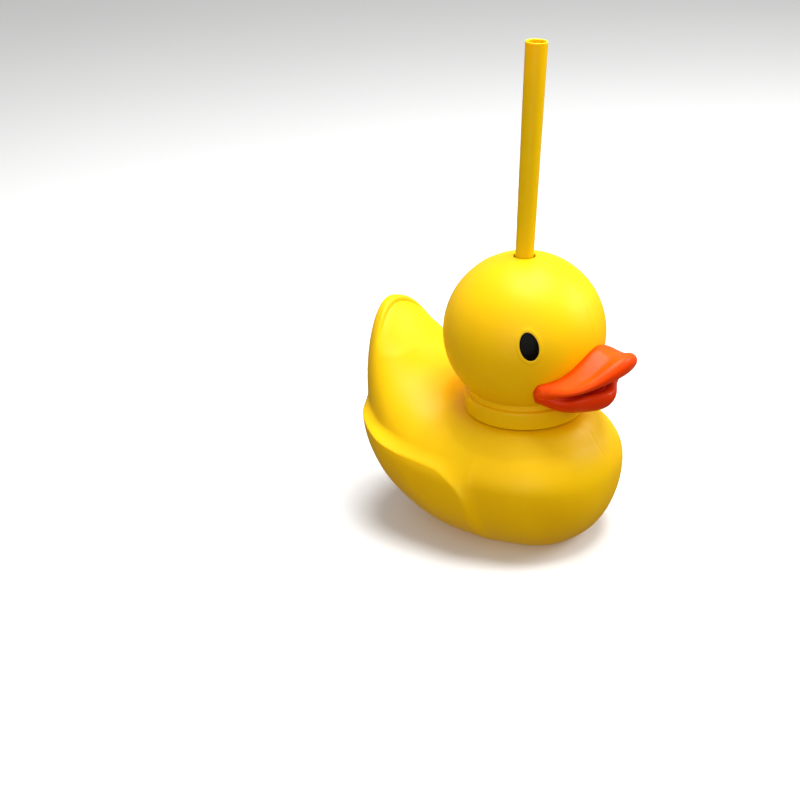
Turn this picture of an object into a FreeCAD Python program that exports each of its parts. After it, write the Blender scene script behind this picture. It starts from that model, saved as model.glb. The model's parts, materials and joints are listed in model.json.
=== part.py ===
import FreeCAD, Part
import math
import os

import Sketcher

# Duck-shaped drinking cup with a lift-off head and a tapered straw.
# Frame: millimetres, +Z up, beak towards -Y, X = 0 is the plane of symmetry.
# The origin is on the flat base, below the axis that the head screws on.

Vector = FreeCAD.Vector
Rotation = FreeCAD.Rotation
Placement = FreeCAD.Placement

DRIVING = [
    # body shell
    ("wall", 1.8, "wall of the blown body and head"),
    ("wing_proud", 5.5, "how far the wings stand out of the flanks"),
    ("seat_top", 67.8, "flat seat round the neck, height above the base"),
    ("seat_radius", 31.0, "radius of that seat, flush with the collar"),
    ("seat_relief", 0.8, "gap left round the collar where the back rises"),
    # threaded neck and collar
    ("neck_radius", 25.2, "outside of the neck under its thread"),
    ("neck_bore", 23.4, "mouth of the cup"),
    ("neck_top", 82.0, "rim of the neck"),
    ("thread_depth", 1.2, "height of a thread rib"),
    ("rib_root", 1.0, "half the width of a rib at its root"),
    ("rib_crest", 0.5, "half the width of a rib at its crest"),
    ("thread_lead", 10.0, "rise in one turn of the two-start thread"),
    ("neck_thread_start", 74.6, "height where a neck rib begins"),
    ("neck_thread_turn", 200.0, "angle that a neck rib runs through"),
    ("collar_thread_start", 73.45, "height where a collar rib begins"),
    ("collar_thread_lag", 20.0, "angle from the neck rib's start to the collar rib's"),
    ("collar_thread_turn", 150.0, "angle that a collar rib runs through"),
    ("collar_bottom", 68.1, "lower edge of the collar"),
    ("collar_top", 77.5, "top of the collar's visible band"),
    ("collar_radius", 31.0, "outside of the visible band"),
    ("collar_round", 1.6, "rounding of the band's top edge"),
    ("collar_bore", 26.8, "inside of the collar"),
    ("collar_inner", 28.0, "inner wall of the channel under the band"),
    ("collar_outer", 29.6, "outer wall of the channel under the band"),
    ("collar_channel", 75.7, "roof of the channel under the band"),
    ("spigot_radius", 28.4, "part of the collar that the head is bonded on"),
    ("web_bottom", 83.2, "underside of the disc that closes the cup"),
    ("web_top", 85.0, "top of that disc"),
    ("web_pilot", 2.0, "centre hole of the turned disc, inside the hole of the straw seal"),
    # seals
    ("gasket_bore", 23.7, "inside of the flat gasket"),
    ("gasket_radius", 26.5, "outside of the flat gasket"),
    ("gasket_play", 0.05, "gap above and below the gasket before it is squeezed"),
    ("seal_waist", 7.0, "groove of the straw seal and its hole in the disc"),
    ("seal_flange", 8.6, "flange of the straw seal"),
    ("seal_lip", 1.5, "thickness of each flange"),
    ("seal_bore", 4.35, "hole of the straw seal"),
    # head
    ("head_centre", 109.5, "height of the head's centre"),
    ("head_radius", 41.0, "head radius seen from above"),
    ("head_rise", 40.4, "half the height of the whole ball"),
    ("crown_hole", 5.4, "radius of the straw hole in the crown"),
    ("eye_x", 32.6, "eye centre, sideways from the head's centre"),
    ("eye_y", 23.5, "eye centre, forwards"),
    ("eye_z", 8.0, "eye centre, upwards"),
    ("eye_half_height", 7.0, "half the height of an eye"),
    ("eye_half_width", 4.75, "half the width of an eye"),
    ("eye_tilt", 12.0, "lean of an eye, foot towards the beak, degrees"),
    ("eye_floor", 40.1, "radius of the eye socket's floor from the head's centre"),
    ("eye_face", 41.3, "radius of the eye's outer face"),
    # beak fastening
    ("peg_radius", 3.0, "pegs that hold the beak in the head"),
    ("peg_x", 11.0, "pegs, sideways"),
    ("peg_z", 99.0, "pegs, height"),
    ("peg_back", 33.0, "inner end of the pegs, forwards of the axis"),
    ("peg_front", 44.0, "outer end of the pegs, inside the beak"),
    # straw
    ("straw_foot", 2.6, "lower end of the straw"),
    ("straw_top", 255.0, "open top of the straw"),
    ("straw_foot_radius", 3.4, "outside at the lower end"),
    ("straw_top_radius", 5.45, "outside at the top"),
    ("straw_foot_bore", 2.5, "inside at the lower end"),
    ("straw_mouth_bore", 4.4, "inside of the straight stretch at the top"),
    ("straw_mouth_depth", 10.0, "length of that straight stretch"),
    ("straw_lean", 3.0, "lean of the straw about the crown hole, degrees"),
    ("straw_heading", -52.6, "direction that it leans in, degrees from +X: forwards and to the left"),
]

# Cross-sections of a blended form, each from its front to its back station:
# y, half width, height of the widest line, top, bottom.
BODY_STATIONS = [
    (-50, 7, 39, 44, 34),
    (-47, 19, 39, 51, 21),
    (-38, 34, 40, 62, 7),
    (-20, 46, 41, 69, -4),
    (5, 50, 41, 71, -7),
    (30, 50, 43, 71, -6),
    (52, 46, 48, 80, -1),
    (68, 38, 57, 96, 10),
    (79, 29, 66, 110, 27),
    (86, 17, 73, 108, 47),
    (89, 6, 77, 86, 68),
]
UPPER_BILL_STATIONS = [
    (-64, 4, 106.6, 108.0, 105.0),
    (-60, 14, 105.2, 108.8, 102.6),
    (-50, 22, 100.5, 109.5, 97.5),
    (-38, 28, 94.0, 107.5, 91.0),
    (-25, 31.5, 90.5, 103.0, 87.0),
]
LOWER_BILL_STATIONS = [
    (-52, 6, 85.6, 88.0, 83.4),
    (-48, 16, 86.0, 89.6, 82.0),
    (-38, 23, 88.0, 91.5, 81.4),
    (-25, 29, 90.5, 93.0, 82.0),
]
# Side outline of a wing: y, z of each corner.
WING_OUTLINE = [
    (0, 12), (0, 26), (3, 34), (10, 41.5), (20, 46.5), (31, 48.5), (43, 49.5), (55, 51.5),
    (66, 54.5), (75, 59), (79, 64), (80, 54), (70, 38), (52, 16), (30, 10),
]
STATION_FIELDS = ("y", "half_width", "widest", "top", "bottom")


CROWN = "dims.head_centre + dims.head_rise"
WIDER_THAN_CUP = 300


def fill_sheet(doc):
    sheet = doc.addObject("Spreadsheet::Sheet", "dims")
    rows = [(alias, value) for alias, value, _ in DRIVING]
    tables = (("body", BODY_STATIONS), ("upper", UPPER_BILL_STATIONS), ("lower", LOWER_BILL_STATIONS))
    for form, stations in tables:
        for number, station in enumerate(stations):
            rows += [(f"{form}_{field}_{number}", value) for field, value in zip(STATION_FIELDS, station)]
    for number, (y, z) in enumerate(WING_OUTLINE):
        rows += [(f"wing_y_{number}", y), (f"wing_z_{number}", z)]
    for row, (alias, value) in enumerate(rows, start=1):
        sheet.set(f"A{row}", str(value))
        sheet.setAlias(f"A{row}", alias)
    for row, (_, _, meaning) in enumerate(DRIVING, start=1):
        sheet.set(f"B{row}", meaning)
    doc.recompute()
    return sheet


def new_body(doc, name):
    return doc.addObject("PartDesign::Body", name)


def new_sketch(body, name, role):
    sketch = body.newObject("Sketcher::SketchObject", name)
    plane = next(item for item in body.Origin.OriginFeatures if item.Role == role)
    sketch.AttachmentSupport = [(plane, "")]
    sketch.MapMode = "FlatFace"
    return sketch


def bind(sketch, constraint, expression):
    index = sketch.addConstraint(constraint)
    sketch.setExpression(f"Constraints[{index}]", expression)


def value_of(sheet, expression):
    """The number that an expression on the sheet gives."""
    return float(sheet.evalExpression(expression.replace("dims.", "")))


def draw_polygon(sheet, sketch, corners):
    """A closed outline whose corners are pairs of expressions."""
    points = [Vector(value_of(sheet, a), value_of(sheet, b), 0) for a, b in corners]
    count = len(points)
    for index in range(count):
        sketch.addGeometry(Part.LineSegment(points[index], points[(index + 1) % count]), False)
    for index in range(count):
        sketch.addConstraint(Sketcher.Constraint("Coincident", index, 2, (index + 1) % count, 1))
    for index, (across, up) in enumerate(corners):
        for kind, expression, size in (("DistanceX", across, points[index].x), ("DistanceY", up, points[index].y)):
            bind(sketch, Sketcher.Constraint(kind, -1, 1, index, 1, size), expression)


def revolve(body, profile, name):
    turned = body.newObject("PartDesign::Revolution", name)
    turned.Profile = profile
    turned.ReferenceAxis = (profile, ["V_Axis"])
    turned.Angle = 360
    return turned


def turned_body(doc, sheet, name, corners):
    body = new_body(doc, name)
    profile = new_sketch(body, f"{name}_profile", "XZ_Plane")
    draw_polygon(sheet, profile, corners)
    revolve(body, profile, f"{name}_turned")
    return body


def draw_half_oval(sketch, width, widest, height, upper):
    """Half of an ellipse, with its centre, width and height given as (number, expression)."""
    centre = Vector(0, widest[0], 0)
    if width[0] >= height[0]:
        ellipse = Part.Ellipse(Vector(width[0], widest[0], 0), Vector(0, widest[0] + height[0], 0), centre)
        first = 0 if upper else math.pi
    else:
        ellipse = Part.Ellipse(Vector(0, widest[0] + height[0], 0), Vector(-width[0], widest[0], 0), centre)
        first = -math.pi / 2 if upper else math.pi / 2
    arc = sketch.addGeometry(Part.ArcOfEllipse(ellipse, first, first + math.pi), False)
    sketch.exposeInternalGeometry(arc)
    long_axis, short_axis = arc + 1, arc + 2
    flat, tall = (long_axis, short_axis) if width[0] >= height[0] else (short_axis, long_axis)
    sketch.addConstraint(Sketcher.Constraint("PointOnObject", arc, 3, -2))
    bind(sketch, Sketcher.Constraint("DistanceY", -1, 1, arc, 3, widest[0]), widest[1])
    sketch.addConstraint(Sketcher.Constraint("Horizontal", flat))
    bind(sketch, Sketcher.Constraint("Distance", flat, 2 * width[0]), f"2 * ({width[1]})")
    bind(sketch, Sketcher.Constraint("Distance", tall, 2 * height[0]), f"2 * ({height[1]})")
    sketch.addConstraint(Sketcher.Constraint("Horizontal", arc, 1, arc, 3))
    sketch.addConstraint(Sketcher.Constraint("Horizontal", arc, 2, arc, 3))


def blended_form(doc, sheet, name, form, stations, grow="0"):
    """A loft through egg-shaped sections along Y, grown outwards by the expression."""
    body = new_body(doc, name)
    sketches = []
    last = len(stations) - 1
    for number in range(len(stations)):
        cell = {field: f"dims.{form}_{field}_{number}" for field in STATION_FIELDS}
        sketch = new_sketch(body, f"{name}_section_{number}", "XZ_Plane")
        shift = {0: f" - ({grow})", last: f" + ({grow})"}.get(number, "")
        sketch.setExpression("AttachmentOffset.Base.z", f"-({cell['y']}{shift})")
        width = f"{cell['half_width']} + ({grow})"
        above = f"{cell['top']} - {cell['widest']} + ({grow})"
        below = f"{cell['widest']} - {cell['bottom']} + ({grow})"
        sized = {text: (value_of(sheet, text), text) for text in (width, above, below, cell["widest"])}
        draw_half_oval(sketch, sized[width], sized[cell["widest"]], sized[above], True)
        draw_half_oval(sketch, sized[width], sized[cell["widest"]], sized[below], False)
        sketches.append(sketch)
    loft = body.newObject("PartDesign::AdditiveLoft", f"{name}_loft")
    loft.Profile = sketches[0]
    loft.Sections = sketches[1:]
    return body


def boolean(doc, kind, name, base, tool):
    result = doc.addObject(f"Part::{kind}", name)
    result.Base = base
    result.Tool = tool
    return result


def cylinder(doc, name, radius, bottom, top):
    shape = doc.addObject("Part::Cylinder", name)
    shape.setExpression("Radius", radius)
    shape.setExpression("Height", f"({top}) - ({bottom})")
    shape.setExpression("Placement.Base.z", bottom)
    return shape


def half_space_below(doc, name, top):
    """A block under the given height, wider than the whole cup."""
    block = doc.addObject("Part::Box", name)
    block.Length = block.Width = block.Height = WIDER_THAN_CUP
    block.Placement.Base = Vector(-WIDER_THAN_CUP / 2, -WIDER_THAN_CUP / 2, 0)
    block.setExpression("Placement.Base.z", f"({top}) - {WIDER_THAN_CUP}")
    return block


def add_thread(doc, sheet, body, start, turn, wall, crest, lag="0"):
    """Two helical ribs on a turned body; the crest expression says which way they stand."""
    name = body.Name
    profile = new_sketch(body, f"{name}_rib_profile", "XZ_Plane")
    root = f"{wall} - 0.2 * ({crest} - {wall}) / dims.thread_depth"
    draw_polygon(sheet, profile, [
        (root, f"{start} - dims.rib_root"),
        (root, f"{start} + dims.rib_root"),
        (crest, f"{start} + dims.rib_crest"),
        (crest, f"{start} - dims.rib_crest"),
    ])
    doc.recompute()
    rib = body.newObject("PartDesign::AdditiveHelix", f"{name}_rib")
    rib.Profile = profile
    rib.ReferenceAxis = (profile, ["V_Axis"])
    rib.Mode = "pitch-height-angle"
    rib.setExpression("Pitch", "dims.thread_lead")
    rib.setExpression("Height", f"dims.thread_lead * {turn} / 360")
    doc.recompute()
    pair = body.newObject("PartDesign::PolarPattern", f"{name}_rib_pair")
    pair.Originals = [rib]
    pair.Axis = (profile, ["V_Axis"])
    pair.Angle = 360
    pair.Occurrences = 2
    body.Tip = pair
    body.setExpression("Placement.Rotation.Angle", lag)


def make_neck(doc, sheet):
    neck = turned_body(doc, sheet, "neck", [
        ("dims.neck_bore", "dims.seat_top - 8"),
        ("dims.neck_radius", "dims.seat_top - 8"),
        ("dims.neck_radius", "dims.neck_top"),
        ("dims.neck_bore", "dims.neck_top"),
    ])
    crest = "(dims.neck_radius + dims.thread_depth)"
    add_thread(doc, sheet, neck, "dims.neck_thread_start", "dims.neck_thread_turn", "dims.neck_radius", crest)
    return neck


def make_body_shell(doc, sheet):
    form = blended_form(doc, sheet, "body_form", "body", BODY_STATIONS)
    wide = blended_form(doc, sheet, "wing_form", "body", BODY_STATIONS, "dims.wing_proud")
    outline = new_body(doc, "wing_outline")
    side = new_sketch(outline, "wing_side", "YZ_Plane")
    corners = [(f"dims.wing_y_{number}", f"dims.wing_z_{number}") for number in range(len(WING_OUTLINE))]
    draw_polygon(sheet, side, corners)
    pad = outline.newObject("PartDesign::Pad", "wing_pad")
    pad.Profile = side
    pad.Length = WIDER_THAN_CUP
    pad.Midplane = True
    wings = boolean(doc, "Common", "wings", wide, outline)
    winged = boolean(doc, "Fuse", "winged_form", form, wings)
    seat = cylinder(doc, "seat", "dims.seat_radius", "dims.seat_top - 18", "dims.seat_top")
    seated = boolean(doc, "Fuse", "seated_form", winged, seat)
    relief_radius = "dims.seat_radius + dims.seat_relief"
    relief = cylinder(doc, "collar_relief", relief_radius, "dims.seat_top", "dims.neck_top")
    relieved = boolean(doc, "Cut", "relieved_form", seated, relief)
    based = boolean(doc, "Cut", "based_form", relieved, half_space_below(doc, "under_base", "0"))
    cavity_form = blended_form(doc, sheet, "cavity_form", "body", BODY_STATIONS, "-dims.wall")
    under_floor = half_space_below(doc, "under_floor", "dims.wall")
    low_cavity = boolean(doc, "Cut", "cavity_above_floor", cavity_form, under_floor)
    seat_wall = cylinder(doc, "seat_wall", f"{relief_radius} + dims.wall", "dims.seat_top - dims.wall", "dims.neck_top")
    cavity = boolean(doc, "Cut", "cavity", low_cavity, seat_wall)
    hollow = boolean(doc, "Cut", "hollow_form", based, cavity)
    necked = boolean(doc, "Fuse", "necked_form", hollow, make_neck(doc, sheet))
    mouth = cylinder(doc, "mouth", "dims.neck_bore", "dims.seat_top - 20", "dims.neck_top + 1")
    return boolean(doc, "Cut", "body_shell", necked, mouth)


def move_under_straw(item):
    """Puts an upright piece where the leaning straw passes through the disc."""
    below_crown = f"({CROWN} - (dims.web_bottom + dims.web_top) / 2)"
    item.setExpression("Placement.Base.x", f"-{below_crown} * tan(dims.straw_lean) * cos(dims.straw_heading)")
    item.setExpression("Placement.Base.y", f"-{below_crown} * tan(dims.straw_lean) * sin(dims.straw_heading)")


def make_neck_collar(doc, sheet):
    collar = turned_body(doc, sheet, "collar", [
        ("dims.collar_bore", "dims.collar_bottom"),
        ("dims.collar_inner", "dims.collar_bottom"),
        ("dims.collar_inner", "dims.collar_channel"),
        ("dims.collar_outer", "dims.collar_channel"),
        ("dims.collar_outer", "dims.collar_bottom"),
        ("dims.collar_radius", "dims.collar_bottom"),
        ("dims.collar_radius", "dims.collar_top"),
        ("dims.spigot_radius", "dims.collar_top"),
        ("dims.spigot_radius", "dims.web_top"),
        ("dims.web_pilot", "dims.web_top"),
        ("dims.web_pilot", "dims.web_bottom"),
        ("dims.collar_bore", "dims.web_bottom"),
    ])
    doc.recompute()
    turned = collar.Tip
    edges = [
        f"Edge{number}" for number, edge in enumerate(turned.Shape.Edges, start=1)
        if abs(edge.BoundBox.ZMin - sheet.collar_top) < 0.01 and abs(edge.BoundBox.ZMax - sheet.collar_top) < 0.01
        and abs(edge.BoundBox.XMax - sheet.collar_radius) < 0.01
    ]
    rounded = collar.newObject("PartDesign::Fillet", "collar_edge")
    rounded.Base = (turned, edges)
    rounded.setExpression("Radius", "dims.collar_round")
    doc.recompute()
    crest = "(dims.collar_bore - dims.thread_depth)"
    start, turn = "dims.collar_thread_start", "dims.collar_thread_turn"
    add_thread(doc, sheet, collar, start, turn, "dims.collar_bore", crest, "dims.collar_thread_lag")
    hole = cylinder(doc, "seal_hole", "dims.seal_waist", "dims.web_bottom - 1", "dims.web_top + 1")
    move_under_straw(hole)
    return boolean(doc, "Cut", "neck_collar", collar, hole)


def make_cap_gasket(doc, sheet):
    bottom = "dims.neck_top + dims.gasket_play"
    top = "dims.web_bottom - dims.gasket_play"
    return turned_body(doc, sheet, "cap_gasket", [
        ("dims.gasket_bore", bottom),
        ("dims.gasket_radius", bottom),
        ("dims.gasket_radius", top),
        ("dims.gasket_bore", top),
    ])


def make_straw_seal(doc, sheet):
    bottom = "dims.web_bottom - dims.seal_lip"
    top = "dims.web_top + dims.seal_lip"
    seal = turned_body(doc, sheet, "straw_seal", [
        ("dims.seal_bore", bottom),
        ("dims.seal_flange", bottom),
        ("dims.seal_flange", "dims.web_bottom"),
        ("dims.seal_waist", "dims.web_bottom"),
        ("dims.seal_waist", "dims.web_top"),
        ("dims.seal_flange", "dims.web_top"),
        ("dims.seal_flange", top),
        ("dims.seal_bore", top),
    ])
    move_under_straw(seal)
    return seal


def head_ball(doc, name, inset="0"):
    ball = doc.addObject("Part::Ellipsoid", name)
    ball.setExpression("Radius1", f"dims.head_rise - ({inset})")
    ball.setExpression("Radius2", f"dims.head_radius - ({inset})")
    ball.setExpression("Radius3", f"dims.head_radius - ({inset})")
    ball.setExpression("Placement.Base.z", "dims.head_centre")
    return ball


def eye_sphere(doc, name, radius):
    sphere = doc.addObject("Part::Sphere", name)
    sphere.setExpression("Radius", radius)
    sphere.setExpression("Placement.Base.z", "dims.head_centre")
    return sphere


def eye_blank(doc, sheet, side, name):
    """An oval plug through the head's wall, aimed outwards from the head's centre."""
    aim = Vector(side * sheet.eye_x, -sheet.eye_y, sheet.eye_z)
    aim.normalize()
    upright = Vector(0, 0, 1) - aim * aim.z
    upright = Rotation(aim, side * sheet.eye_tilt).multVec(upright)
    oval = doc.addObject("Part::Ellipse", f"{name}_oval")
    oval.setExpression("MajorRadius", "dims.eye_half_height")
    oval.setExpression("MinorRadius", "dims.eye_half_width")
    centre = Vector(0, 0, sheet.head_centre) + aim * 30
    oval.Placement = Placement(centre, Rotation(upright, aim.cross(upright), aim, "ZXY"))
    plug = doc.addObject("Part::Extrusion", f"{name}_plug")
    plug.Base = oval
    plug.DirMode = "Custom"
    plug.Dir = aim
    plug.LengthFwd = 20
    plug.Solid = True
    return boolean(doc, "Cut", f"{name}_blank", plug, eye_sphere(doc, f"{name}_floor", "dims.eye_floor"))


def make_eyes(doc, sheet):
    blanks = {"left_eye": eye_blank(doc, sheet, 1, "left"), "right_eye": eye_blank(doc, sheet, -1, "right")}
    eyes = [
        boolean(doc, "Common", name, blank, eye_sphere(doc, f"{name}_face", "dims.eye_face"))
        for name, blank in blanks.items()
    ]
    return eyes, list(blanks.values())


def make_pegs(doc):
    pegs = doc.addObject("Part::MultiFuse", "beak_pegs")
    pair = []
    for name, side in (("peg_left", 1), ("peg_right", -1)):
        peg = doc.addObject("Part::Cylinder", name)
        peg.Placement.Rotation = Rotation(Vector(1, 0, 0), 90)
        peg.setExpression("Radius", "dims.peg_radius")
        peg.setExpression("Height", "dims.peg_front - dims.peg_back")
        peg.setExpression("Placement.Base.x", f"{side} * dims.peg_x")
        peg.setExpression("Placement.Base.y", "-dims.peg_back")
        peg.setExpression("Placement.Base.z", "dims.peg_z")
        pair.append(peg)
    pegs.Shapes = pair
    return pegs


def make_beak(doc, sheet, pegs):
    upper = blended_form(doc, sheet, "upper_bill", "upper", UPPER_BILL_STATIONS)
    lower = blended_form(doc, sheet, "lower_bill", "lower", LOWER_BILL_STATIONS)
    bills = boolean(doc, "Fuse", "bills", upper, lower)
    seated = boolean(doc, "Cut", "bills_on_head", bills, head_ball(doc, "beak_seat"))
    return boolean(doc, "Fuse", "beak", seated, pegs)


def make_head_shell(doc, pegs, blanks):
    shell = boolean(doc, "Cut", "head_wall", head_ball(doc, "head_outside"), head_ball(doc, "head_inside", "dims.wall"))
    cutters = doc.addObject("Part::MultiFuse", "head_openings")
    crown_top = "dims.head_centre + dims.head_radius + 5"
    cutters.Shapes = [
        cylinder(doc, "crown_opening", "dims.crown_hole", "dims.head_centre", crown_top),
        cylinder(doc, "neck_opening", "dims.spigot_radius", "dims.collar_bottom - 5", "dims.head_centre"),
        pegs,
    ] + blanks
    return boolean(doc, "Cut", "head_shell", shell, cutters)


def lean_about_crown(item, sheet):
    """Leans an upright piece about the middle of the crown hole."""
    heading = math.radians(sheet.straw_heading)
    item.Placement.Rotation = Rotation(Vector(-math.sin(heading), math.cos(heading), 0), sheet.straw_lean)
    item.setExpression("Placement.Rotation.Angle", "dims.straw_lean")
    item.setExpression("Placement.Base.x", f"-({CROWN}) * sin(dims.straw_lean) * cos(dims.straw_heading)")
    item.setExpression("Placement.Base.y", f"-({CROWN}) * sin(dims.straw_lean) * sin(dims.straw_heading)")
    item.setExpression("Placement.Base.z", f"({CROWN}) * (1 - cos(dims.straw_lean))")


def make_straw(doc, sheet):
    outside = doc.addObject("Part::Cone", "straw_outside")
    outside.setExpression("Radius1", "dims.straw_foot_radius")
    outside.setExpression("Radius2", "dims.straw_top_radius")
    outside.setExpression("Height", "dims.straw_top - dims.straw_foot")
    outside.setExpression("Placement.Base.z", "dims.straw_foot")
    inside = doc.addObject("Part::Cone", "straw_inside")
    inside.setExpression("Radius1", "dims.straw_foot_bore")
    inside.setExpression("Radius2", "dims.straw_mouth_bore")
    inside.setExpression("Height", "dims.straw_top - dims.straw_foot - dims.straw_mouth_depth")
    inside.setExpression("Placement.Base.z", "dims.straw_foot")
    mouth_bottom = "dims.straw_top - dims.straw_mouth_depth"
    mouth = cylinder(doc, "straw_mouth", "dims.straw_mouth_bore", mouth_bottom, "dims.straw_top")
    bore = boolean(doc, "Fuse", "straw_bore", inside, mouth)
    straw = boolean(doc, "Cut", "straw", outside, bore)
    lean_about_crown(straw, sheet)
    return straw


def check(doc, nodes):
    for item in doc.Objects:
        if "Invalid" in item.State or "Error" in item.State:
            raise RuntimeError(f"{item.Name} failed: {item.State}")
    for node in nodes:
        shape = node.Shape
        if shape.isNull() or not shape.isValid() or not shape.Solids:
            raise RuntimeError(f"{node.Label} has no valid solid")


def main():
    doc = FreeCAD.newDocument("duck_cup")
    sheet = fill_sheet(doc)
    eyes, blanks = make_eyes(doc, sheet)
    pegs = make_pegs(doc)
    nodes = [
        make_body_shell(doc, sheet),
        make_neck_collar(doc, sheet),
        make_cap_gasket(doc, sheet),
        make_straw_seal(doc, sheet),
        make_head_shell(doc, pegs, blanks),
        make_beak(doc, sheet, pegs),
        make_straw(doc, sheet),
    ] + eyes
    doc.recompute()
    check(doc, nodes)
    os.makedirs("parts", exist_ok=True)
    for node in nodes:
        shape = node.Shape
        shape.exportStep(f"parts/{node.Label}.step")
        box = shape.BoundBox
        extent = f"{box.XLength:7.1f} {box.YLength:7.1f} {box.ZLength:7.1f}"
        print(f"{node.Label:14s} solids {len(shape.Solids)}  volume {shape.Volume:10.1f}  box {extent}")


main()
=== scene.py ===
import json
import math

import bmesh
import bpy
import numpy as np
from mathutils import Matrix, Vector
from mathutils.kdtree import KDTree


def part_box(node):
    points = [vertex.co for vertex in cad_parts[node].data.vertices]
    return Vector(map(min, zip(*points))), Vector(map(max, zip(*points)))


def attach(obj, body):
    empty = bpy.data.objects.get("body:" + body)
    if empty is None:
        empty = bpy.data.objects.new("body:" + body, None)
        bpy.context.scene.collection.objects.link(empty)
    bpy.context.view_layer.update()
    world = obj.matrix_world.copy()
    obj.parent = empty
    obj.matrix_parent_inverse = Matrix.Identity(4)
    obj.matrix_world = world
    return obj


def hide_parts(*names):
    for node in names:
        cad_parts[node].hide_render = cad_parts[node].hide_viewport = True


# A duck-shaped drinking cup: hollow body, screw-off head with an open beak, and a tapered straw.
# Lengths are millimetres until a mesh is made; the meshes are in metres, in the frame of the CAD model.

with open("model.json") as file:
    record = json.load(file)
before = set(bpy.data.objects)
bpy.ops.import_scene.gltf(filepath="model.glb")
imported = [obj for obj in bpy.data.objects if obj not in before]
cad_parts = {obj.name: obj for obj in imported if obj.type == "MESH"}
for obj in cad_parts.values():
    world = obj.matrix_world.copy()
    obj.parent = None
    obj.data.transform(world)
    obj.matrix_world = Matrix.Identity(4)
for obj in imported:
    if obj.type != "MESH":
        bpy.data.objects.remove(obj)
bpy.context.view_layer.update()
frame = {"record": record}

MM = 0.001
GROUND = "studio_floor"

# Heights and radii shared by several pieces, millimetres.
COLLAR_LOW, COLLAR_HIGH = (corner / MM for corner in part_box("neck_collar"))
SEAL_LOW, SEAL_HIGH = (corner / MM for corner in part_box("straw_seal"))
GASKET_LOW, GASKET_HIGH = (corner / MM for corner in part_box("cap_gasket"))
SEAL_MIDDLE = Vector(((SEAL_LOW[0] + SEAL_HIGH[0]) / 2, (SEAL_LOW[1] + SEAL_HIGH[1]) / 2, 0))

WALL = 1.8
SEAT_TOP = 67.8
NECK_TOP = 82.0
NECK_RADIUS = 25.2
NECK_BORE = 23.4
BAND_TOP = 77.5
WEB_BOTTOM = 83.2
COLLAR_BORE = 26.8
SPIGOT_RADIUS = 28.4
SEAL_WAIST = 7.0
SEAL_BORE = 4.35

HEAD_CENTRE = 109.5
HEAD_RADIUS = 41.0
HEAD_RISE = 40.4
CROWN_HOLE = 5.4
EYE_CENTRE = np.array((32.6, -23.5, 8.0))
EYE_HALF_HEIGHT = 7.0
EYE_HALF_WIDTH = 4.75
EYE_TILT = math.radians(12.0)
EYE_FLOOR = 40.1

# The straw leans about the middle of the crown hole, along the line that it slides on.
STRAW_FOOT, STRAW_TOP = 2.6, 255.0
CROWN = HEAD_CENTRE + HEAD_RISE
STRAW_LINE = Vector(next(joint["axis"] for joint in frame["record"]["behaviour"]["joints"]
                         if joint["name"] == "straw_slide"))


# ---------------------------------------------------------------- curves and meshes

def ramp(low, high, value):
    """0 below low, 1 above high, smooth between; low may be the larger."""
    t = np.clip((value - low) / (high - low), 0, 1)
    return t * t * (3 - 2 * t)


def monotone(knots, values, at):
    """A smooth curve through the knots that never overshoots them."""
    knots, values = np.asarray(knots, float), np.asarray(values, float)
    step = np.diff(knots)
    slope = np.diff(values) / step
    before, after = slope[:-1], slope[1:]
    weight_before, weight_after = 2 * step[1:] + step[:-1], step[1:] + 2 * step[:-1]
    turning = before * after <= 0
    safe_before, safe_after = np.where(turning, 1, before), np.where(turning, 1, after)
    harmonic = (weight_before + weight_after) / (weight_before / safe_before + weight_after / safe_after)
    tangent = np.concatenate([[slope[0]], np.where(turning, 0, harmonic), [slope[-1]]])
    cell = np.clip(np.searchsorted(knots, at, "right") - 1, 0, len(step) - 1)
    t = (at - knots[cell]) / step[cell]
    width = step[cell]
    rise = values[cell] * (1 + 2 * t) * (1 - t) ** 2 + values[cell + 1] * t * t * (3 - 2 * t)
    return rise + width * (tangent[cell] * t * (1 - t) ** 2 + tangent[cell + 1] * t * t * (t - 1))


def spline(knots, values, at):
    """A natural cubic spline through the values, which may be points."""
    knots, values = np.asarray(knots, float), np.asarray(values, float)
    flat = values.reshape(len(knots), -1)
    step = np.diff(knots)
    system = np.eye(len(knots))
    load = np.zeros_like(flat)
    for i in range(1, len(knots) - 1):
        system[i, i - 1:i + 2] = step[i - 1], 2 * (step[i - 1] + step[i]), step[i]
        load[i] = 6 * ((flat[i + 1] - flat[i]) / step[i] - (flat[i] - flat[i - 1]) / step[i - 1])
    bend = np.linalg.solve(system, load)
    cell = np.clip(np.searchsorted(knots, at, "right") - 1, 0, len(step) - 1)
    width = step[cell][:, None]
    b = ((at - knots[cell]) / step[cell])[:, None]
    a = 1 - b
    curve = a * flat[cell] + b * flat[cell + 1]
    curve += ((a ** 3 - a) * bend[cell] + (b ** 3 - b) * bend[cell + 1]) * width ** 2 / 6
    return curve.reshape((len(at),) + values.shape[1:])


def soften(values, reach):
    """Averages a row of samples over a bell of the given reach, keeping both ends."""
    span = np.arange(-3 * reach, 3 * reach + 1)
    bell = np.exp(-0.5 * (span / reach) ** 2)
    pad = len(span) // 2
    ahead = 2 * values[0] - values[pad:0:-1]
    behind = 2 * values[-1] - values[-2:-pad - 2:-1]
    return np.convolve(np.concatenate([ahead, values, behind]), bell / bell.sum(), "valid")


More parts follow.
